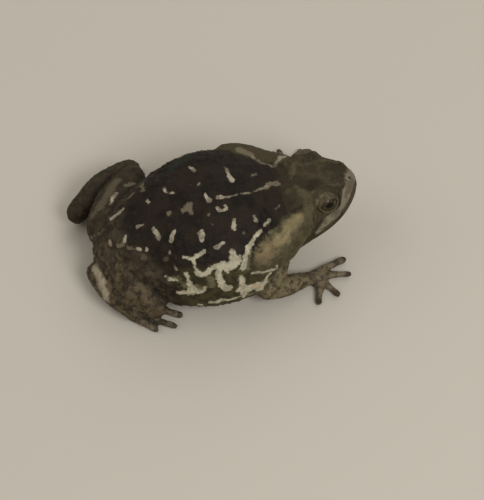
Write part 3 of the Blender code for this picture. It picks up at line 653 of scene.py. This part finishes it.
def newMaterial(name, settings):  # with its tree, its shader and the places that patterns read
    material = bpy.data.materials.new(name)
    material.use_nodes = True
    tree = material.node_tree
    shader = tree.nodes["Principled BSDF"]
    for key, value in settings.items():
        shader.inputs[key].default_value = value
    return material, tree, shader, addNode(tree, "ShaderNodeTexCoord", {}, {}).outputs["Object"]


smoothStep = {"interpolation_type": "SMOOTHSTEP"}


def layered(tree, found, wobble, base, layers):  # each colour over those before it, by a smooth step of its drive
    colour = linear(base)
    for drive, start, full, strength, mask, ragged, shade in layers:
        value = found[drive]
        if ragged:
            value = addNode(tree, "ShaderNodeMath", {"operation": "MULTIPLY_ADD"}, {
                0: wobble, 1: ragged, 2: value}).outputs["Value"]
        share = addNode(tree, "ShaderNodeMapRange", smoothStep, {
            "Value": value, "From Min": start, "From Max": full, "To Max": strength}).outputs["Result"]
        if mask:
            share = addNode(tree, "ShaderNodeMath", {"operation": "MULTIPLY"}, {
                0: share, 1: found[mask]}).outputs["Value"]
        colour = addNode(tree, "ShaderNodeMix", {"data_type": "RGBA"}, {
            0: share, 6: colour, 7: linear(shade)}).outputs[2]
    return colour


skinLook = {
    "noises": {  # largest lumps in mm, octaves, roughness
        "patch": (11.0, 3.0, 0.55), "blotch": (6.0, 3.0, 0.6), "mottle": (3.4, 4.0, 0.6), "speck": (1.3, 3.0, 0.6),
        "wander": (1.7, 2.0, 0.6), "drift": (4.5, 2.0, 0.5), "grain": (0.5, 3.0, 0.6),
    },
    "steps": {  # noise, where its step starts and is full
        "clumps": ("mottle", 0.42, 0.6), "flecks": ("speck", 0.54, 0.7), "bright": ("blotch", 0.42, 0.56),
    },
    "wander": 3.2, "drift": 3.6,  # mm that edges wander, finely and broadly
    "base": "#221A12",
    "granules": 1.25, "granuleSoftness": 0.4, "granuleRise": -0.8,  # mm apart, coarser than real so that they show
    "pores": 2.3, "poreScatter": 0.9, "poreEdge": (0.28, 0.1), "poreRise": -0.7,  # mm apart; edge and middle
    "grainRise": 0.5,
    "bump": 0.0004, "bumpStrength": 0.8,  # metres
    "roughness": (0.5, 0.7), "roughOver": (0.3, 0.7),  # least and most, and the mottle's values for them
    "shader": {"IOR": 1.5, "Specular IOR Level": 0.16},
}
skinLayers = (  # what drives it, start and full, how strong, what masks it, how ragged, and its colour
    ("patch", 0.42, 0.62, 1.0, None, 0, "#130F0A"),  # back
    ("mottle", 0.52, 0.68, 0.6, None, 0, "#2B1E16"),
    ("flankPart", 0.0, 1.0, 1.0, None, 0, "#2C2817"),  # flank
    ("blotch", 0.42, 0.6, 0.9, "flankPart", 0, "#423C24"),
    ("groinPart", 0.0, 1.0, 0.6, None, 0, "#30271D"),  # groin
    ("blotch", 0.38, 0.62, 0.75, "groinPart", 0, "#4C4334"),
    ("headPart", 0.0, 1.0, 1.0, None, 0, "#2E2719"),  # head
    ("patch", 0.4, 0.6, 1.0, "headPart", 0, "#403827"),
    ("speck", 0.56, 0.72, 0.3, "headPart", 0, "#625944"),
    ("mottle", 0.54, 0.68, 0.5, "headPart", 0, "#272014"),
    ("limbPart", 0.0, 1.0, 1.0, None, 0, "#2E261B"),  # hind legs
    ("mottle", 0.4, 0.56, 1.0, "limbPart", 0, "#584C39"),
    ("blotch", 0.55, 0.42, 0.5, "limbPart", 0, "#2E261B"),
    ("speck", 0.56, 0.7, 0.4, "limbPart", 0, "#6E644F"),
    # painted shade over the far leg
    ("farSideShade", 0.0, 1.0, 0.65, "limbPart", 0, "#211B10"),
    ("armPart", 0.0, 1.0, 1.0, None, 0, "#43392A"),  # arms
    ("mottle", 0.4, 0.56, 1.0, "armPart", 0, "#6E644B"),
    ("speck", 0.55, 0.7, 0.6, "armPart", 0, "#8B8066"),
    ("blotch", 0.56, 0.66, 0.6, "armPart", 0, "#30281D"),
    ("pawPart", 0.0, 1.0, 1.0, None, 0, "#54493A"),  # hands and feet
    ("mottle", 0.42, 0.58, 1.0, "pawPart", 0, "#716651"),
    ("blotch", 0.52, 0.64, 0.75, "pawPart", 0, "#30281D"),
    ("glandPart", 0.0, 1.0, 1.0, None, 0, "#3D3724"),  # glands
    ("mottle", 0.42, 0.6, 0.7, "glandPart", 0, "#524B33"),
    ("tanGap", 2.0, -2.0, 1.0, None, 1.7, "#6B6347"),
    ("tanGap", 0.5, -3.0, 0.85, "clumps", 1.7, "#8C7C5A"),
    ("pinkGap", 2.0, -2.5, 0.75, None, 1.4, "#604F3B"),
    ("tanGap", -1.2, -5.0, 0.5, "bright", 1.2, "#8E8260"),
    # painted shade over the far gland
    ("farSideShade", 0.0, 1.0, 0.85, "glandPart", 0, "#403929"),
    ("wart", 0.2, 1.0, 0.3, "flecks", 0, "#43382B"),  # tips of warts
    ("underPart", 0.0, 1.0, 1.0, None, 0, "#9C9177"),  # belly
    ("mottle", 0.55, 0.66, 0.55, "underPart", 0, "#756B55"),
    ("frontGap", 1.0, -1.0, 0.6, None, 1.0, "#7F7859"),  # before the arm
    # the toad's own dark patches, and painted shade in the near thigh's crease
    ("darkGap", 1.4, -1.0, 0.4, None, 1.0, "#1A1309"),
    ("crestGap", 1.2, -0.4, 0.25, None, 0.5, "#6E634A"),  # lines of the head
    ("foldGap", 1.4, -0.9, 0.7, "nearSide", 0.9, "#524A37"),
    ("lidTopGap", 1.0, -1.0, 0.5, "nearSide", 0.5, "#776C55"),
    ("greenGap", 3.0, -1.5, 0.35, None, 1.0, "#1F3128"),
    ("bandGap", 0.8, -0.8, 0.95, None, 0.65, "#5E5648"),  # band above the lip
    ("bandGap", 0.4, -1.0, 0.9, "bright", 0.65, "#7B7261"),
    ("dimGap", 1.4, -0.8, 0.55, None, 1.2, "#645A49"),  # thighs
    ("faintGap", 0.5, -0.6, 0.75, None, 0.8, "#726856"),
    ("streakGap", 1.2, -1.6, 0.85, None, 1.1, "#A89D87"),
    ("washGap", 1.2, -1.2, 0.85, None, 1.3, "#68634A"),  # cream and pale marks
    ("linesGap", 0.5, -0.5, 0.8, None, 0.5, "#8C8370"),
    ("spotsGap", 0.4, -0.4, 0.95, None, 0.65, "#786F5F"),
    ("spotsGap", 0.3, -0.5, 0.85, "bright", 0.65, "#A69D8B"),
    ("netGap", 0.8, -0.2, 0.97, None, 0.85, "#98927D"),
    ("netGap", 0.5, -0.6, 0.9, "bright", 0.85, "#B4AD98"),
    ("pinkNetGap", 1.0, -1.0, 0.6, None, 1.2, "#B49F85"),
    ("mouthGap", 0.8, 0.2, 0.85, None, 0.1, "#120F0A"),  # painted shade in the mouth's seam, the nostrils and the creases; the eardrums' own darker colour
    ("nostrilGap", 1.3, 0.6, 0.9, None, 0.1, "#120F0A"),
    ("earGap", 2.4, 1.6, 0.75, None, 0.1, "#2B2418"),
    ("creaseGap", 0.7, 0.0, 0.8, None, 0.2, "#120F0A"),
    ("tipGap", 3.0, 1.2, 0.8, None, 0.4, "#2A2119"),
    ("hollowShade", 0.1, 1.2, 0.4, None, 0, "#120F0A"),  # painted shade in the hollows and creases, near and wide
    ("deepShade", 0.3, 1.6, 0.5, None, 0, "#120F0A"),
)


def skinMaterial():  # toad skin: thin dry horn over many small glands, so its gloss is broad and dim
    material, tree, shader, where = newMaterial("toadSkin", skinLook["shader"])
    found = {}
    for name, (size, octaves, rough) in skinLook["noises"].items():
        found[name] = addNode(tree, "ShaderNodeTexNoise", {}, {
            "Vector": where, "Scale": 1000 / size, "Detail": octaves, "Roughness": rough}).outputs["Fac"]
    for name in (*(mark + "Gap" for mark in skinGaps), *(part + "Part" for part in partMasks), *otherValues):
        found[name] = addNode(tree, "ShaderNodeAttribute", {"attribute_name": name}, {}).outputs["Fac"]
    for name, (source, start, full) in skinLook["steps"].items():
        found[name] = addNode(tree, "ShaderNodeMapRange", smoothStep, {
            "Value": found[source], "From Min": start, "From Max": full}).outputs["Result"]
    wobble = -(skinLook["wander"] + skinLook["drift"]) / 2
    for name in ("wander", "drift"):  # the noises' middle is half, so the wobble's is nothing
        wobble = addNode(tree, "ShaderNodeMath", {"operation": "MULTIPLY_ADD"}, {
            0: found[name], 1: skinLook[name], 2: wobble}).outputs["Value"]
    colour = layered(tree, found, wobble, skinLook["base"], skinLayers)
    tree.links.new(colour, shader.inputs["Base Color"])

    granules = addNode(tree, "ShaderNodeTexVoronoi", {"feature": "SMOOTH_F1"}, {
        "Vector": where, "Scale": 1000 / skinLook["granules"],
        "Smoothness": skinLook["granuleSoftness"]}).outputs["Distance"]
    pores = addNode(tree, "ShaderNodeTexVoronoi", {}, {
        "Vector": where, "Scale": 1000 / skinLook["pores"], "Randomness": skinLook["poreScatter"]}).outputs["Distance"]
    edge, middle = skinLook["poreEdge"]
    pores = addNode(tree, "ShaderNodeMapRange", smoothStep, {
        "Value": pores, "From Min": edge, "From Max": middle, "To Max": skinLook["poreRise"]}).outputs["Result"]
    height = addNode(tree, "ShaderNodeMath", {"operation": "MULTIPLY"}, {
        0: found["grain"], 1: skinLook["grainRise"]}).outputs["Value"]
    for one, two in ((granules, skinLook["granuleRise"]), (pores, found["glandPart"])):
        height = addNode(tree, "ShaderNodeMath", {"operation": "MULTIPLY_ADD"}, {
            0: one, 1: two, 2: height}).outputs["Value"]
    bump = addNode(tree, "ShaderNodeBump", {}, {
        "Strength": skinLook["bumpStrength"], "Distance": skinLook["bump"], "Height": height})
    tree.links.new(bump.outputs["Normal"], shader.inputs["Normal"])
    (low, high), (least, most) = skinLook["roughOver"], skinLook["roughness"]
    rough = addNode(tree, "ShaderNodeMapRange", {}, {
        "Value": found["mottle"], "From Min": low, "From Max": high, "To Min": least, "To Max": most})
    tree.links.new(rough.outputs["Result"], shader.inputs["Roughness"])
    return material


# Eyes and lids
def closedMesh(name, points, wrapped):  # a grid of points as a closed surface that faces outwards
    mesh = gridMesh(name, toRow(points), wrapped)
    shell = bmesh.new()
    shell.from_mesh(mesh)
    bmesh.ops.holes_fill(shell, edges=[edge for edge in shell.edges if edge.is_boundary], sides=0)
    bmesh.ops.recalc_face_normals(shell, faces=shell.faces)
    shell.to_mesh(mesh)
    shell.free()
    mesh.shade_smooth()
    return mesh


def makeEye(name, side):  # a ball as a grid of angle from the gaze and angle round it
    centre, outward, ahead, up = eyeFrame(side, eyePlan["gazeTilt"])
    pole, (frontTo, fine), (backFrom, coarse) = (eyePlan[name] for name in ("pole", "frontRings", "backRings"))
    polar = np.concatenate((np.linspace(pole, frontTo, fine), np.linspace(backFrom, math.pi - pole, coarse)))[:, None]
    sweep = np.linspace(0, 2 * math.pi, eyePlan["sides"], endpoint=False)[None] * side
    x, y, z = np.sin(polar) * np.cos(sweep), np.sin(polar) * np.sin(sweep), np.cos(polar) * np.ones_like(sweep)
    points = centre + eyePlan["radius"] * (x[..., None] * ahead + y[..., None] * up + z[..., None] * outward)
    mesh = closedMesh(name, points, False)
    writeValues(mesh, {"ahead": (x * eyePlan["radius"]).ravel(), "above": (y * eyePlan["radius"]).ravel()})
    newPiece(name.replace("eye_", "eyeball_"), mesh, [name])
    mesh.materials.append(eyeMaterial(name))


eyeLook = {
    "base": "#2A2214",
    "flecks": (0.7, 5.0, 0.7),  # largest lumps in mm, octaves, roughness
    "layers": (  # as the skin's
        ("flecks", 0.5, 0.68, 1.0, None, 0, "#5E4E2C"),
        ("iris", 0.8, 1.0, 1.0, None, 0, "#14100A"),
        ("pupil", 1.25, 1.12, 0.25, None, 0, "#5E4E2C"),  # a thin ring round it
        ("pupil", 1.08, 0.98, 1.0, None, 0, "#010101"),
    ),
    "shader": {
        "Roughness": 0.25, "IOR": 1.376, "Specular IOR Level": 0.05,
        "Coat Weight": 0.6, "Coat Roughness": 0.03, "Coat IOR": 1.376,
    },
}


def eyeMaterial(name):  # a wet cornea over a brown iris with gold flecks: a small sharp highlight on a dark ball
    material, tree, shader, where = newMaterial(name + "Cornea", eyeLook["shader"])
    size, octaves, rough = eyeLook["flecks"]
    found = {"flecks": addNode(tree, "ShaderNodeTexNoise", {}, {
        "Vector": where, "Scale": 1000 / size, "Detail": octaves, "Roughness": rough}).outputs["Fac"]}
    ahead, above = (addNode(tree, "ShaderNodeAttribute", {"attribute_name": axis}, {}).outputs["Fac"]
                    for axis in ("ahead", "above"))
    for ring, (across, high) in (("iris", (eyePlan["iris"],) * 2), ("pupil", eyePlan["pupil"])):
        flat = addNode(tree, "ShaderNodeCombineXYZ", {}, {"X": ahead, "Y": above}).outputs["Vector"]
        shares = addNode(tree, "ShaderNodeVectorMath", {"operation": "DIVIDE"}, {0: flat, 1: (across, high, 1)})
        found[ring] = addNode(tree, "ShaderNodeVectorMath", {"operation": "LENGTH"}, {
            0: shares.outputs["Vector"]}).outputs["Value"]  # distance from the gaze in half sizes of an ellipse
    colour = layered(tree, found, None, eyeLook["base"], eyeLook["layers"])
    tree.links.new(colour, shader.inputs["Base Color"])
    return material


def makeLids(name, side):  # a flat closed profile, socket to rim and back under, swept round the ball
    centre, outward, ahead, up = eyeFrame(side, lidPlan["tilt"])
    around, along = lidPlan["sides"]
    sweep = np.linspace(0, 2 * math.pi, around, endpoint=False)[:, None]
    turn = np.linspace(0, 2 * math.pi, along, endpoint=False)[None]
    inward = (1 - np.cos(turn)) / 2  # 0 at the socket, 1 at the rim of the opening
    wide, tall = (np.tan(np.radians(outer + (inner - outer) * inward))
                  for outer, inner in zip(lidPlan["socket"], lidPlan["opening"]))
    rise = np.sin(sweep) * np.abs(np.sin(sweep))**(lidPlan["corners"] * inward)
    spots = unit(outward + (wide * np.cos(sweep))[..., None] * ahead + (tall * rise)[..., None] * up)
    upper, lower = lidPlan["thick"]
    thick = lower + (upper - lower) * ramp(rise, -lidPlan["blend"], lidPlan["blend"])
    least = lidPlan["socketThick"]
    rounded = np.sqrt(np.maximum(0, 1 - inward**lidPlan["rim"])) * (least + (1 - least) * inward)
    depth, foldAt, width = lidPlan["fold"]
    fold = 1 - depth * np.exp(-((inward - foldAt) / width)**2)
    height = lidPlan["clear"] + thick * np.where(turn < math.pi, rounded * fold, 0)
    points = centre + spots * (eyePlan["radius"] + height)[..., None]
    mesh = closedMesh(name, points, True)
    values = {mark + "Gap": farOff for mark in skinGaps}
    values.update(dict.fromkeys(otherValues, 0.0))
    values.update({part + "Part": float(part == "head") for part in partMasks})
    values.update({"lidTopGap": 0.0, "nearSide": 1.0})
    writeValues(mesh, values)
    newPiece(name, mesh, [])
    mesh.materials.append(bpy.data.materials["toadSkin"])


# Floor, lights and camera
studio = {
    "floor": "#BDB8AE", "floorRoughness": 0.9,
    "floorReach": 3.0, "floorDrop": 0.00005,  # metres from the middle to an edge, and below the toad
    "grain": 5 / 3, "grainDetail": 4.0,  # mm from lump to lump, and octaves
    "grainBump": 0.0002, "grainStrength": 0.1,  # metres
    "world": "#FFF6E6", "worldStrength": 0.42,
    "lamps": (  # place in metres, size, watts
        ((0.45, -0.95, 1.15), 0.7, 12.0),
        ((-0.9, 0.25, 1.0), 1.2, 3.5),
        ((0.5, 0.8, 0.9), 1.0, 3.0),
    ),
}
cameraPlan = {
    "target": (10.19, -22.21, 17.34),  # mm in the row frame
    "right": (0.972, -0.233, 0.0),
    "up": (0.196, 0.816, 0.545),
    "distance": 1.3,
    "viewHeight": 0.2804,  # metres that the picture's height takes in
    "sensor": 36.0,
    "clip": (0.01, 20),  # metres
}


def standing(right, up, back, spot):  # a matrix from its three axes and its place
    return Matrix(np.column_stack((right, up, back, spot)).tolist() + [[0, 0, 0, 1]])


def makeFloor():  # matte paper: no gloss and a faint tooth, so that shadows on it are soft
    mesh = bpy.data.meshes.new("floor")
    corners = np.array(((-1, -1, 0), (1, -1, 0), (1, 1, 0), (-1, 1, 0))) * studio["floorReach"]
    mesh.from_pydata(corners - (0, 0, studio["floorDrop"]), [], [(0, 1, 2, 3)])
    floor = newObject("floor", mesh)
    material, tree, shader, where = newMaterial("mattePaper", {
        "Base Color": linear(studio["floor"]), "Roughness": studio["floorRoughness"]})
    grain = addNode(tree, "ShaderNodeTexNoise", {}, {
        "Vector": where, "Scale": 1000 / studio["grain"], "Detail": studio["grainDetail"]}).outputs["Fac"]
    bump = addNode(tree, "ShaderNodeBump", {}, {
        "Strength": studio["grainStrength"], "Distance": studio["grainBump"], "Height": grain})
    tree.links.new(bump.outputs["Normal"], shader.inputs["Normal"])
    mesh.materials.append(material)


def makeLights():  # a soft room, and round lamps that face the toad
    world = bpy.data.worlds.new("softRoom")
    world.use_nodes = True
    background = world.node_tree.nodes["Background"]
    background.inputs["Color"].default_value = linear(studio["world"])
    background.inputs["Strength"].default_value = studio["worldStrength"]
    bpy.context.scene.world = world
    for number, (spot, size, watts) in enumerate(studio["lamps"]):
        light = bpy.data.lights.new(f"softLamp{number}", "AREA")
        light.shape, light.size, light.energy = "DISK", size, watts
        lamp = newObject(light.name, light)
        spot = np.array(spot)
        back = unit(spot)
        right = unit(np.cross((0, 0, 1), back))
        lamp.matrix_world = standing(right, np.cross(back, right), back, spot)


def makeCamera():  # at the photograph's viewing angle
    data = bpy.data.cameras.new("camera")
    data.sensor_width = cameraPlan["sensor"]
    data.lens = cameraPlan["sensor"] * cameraPlan["distance"] / cameraPlan["viewHeight"]
    data.clip_start, data.clip_end = cameraPlan["clip"]
    camera = newObject("camera", data)
    right, up = np.array(cameraPlan["right"]), np.array(cameraPlan["up"])
    right, up = unit(right), unit(up - right * (up @ unit(right)))  # square to each other
    back = np.cross(right, up)
    spot = np.array(cameraPlan["target"]) * mm + back * cameraPlan["distance"]
    camera.matrix_world = standing(right, up, back, spot)
    bpy.context.scene.camera = camera
    bpy.context.scene.view_settings.view_transform = "Standard"


makeSkin()
for side, eyeName in ((1, "eye_left"), (-1, "eye_right")):
    makeEye(eyeName, side)
    makeLids("lids_" + eyeName[4:], side)
print("eyes and lids made")
makeFloor()
makeLights()
makeCamera()
print("floor, lights and camera made")
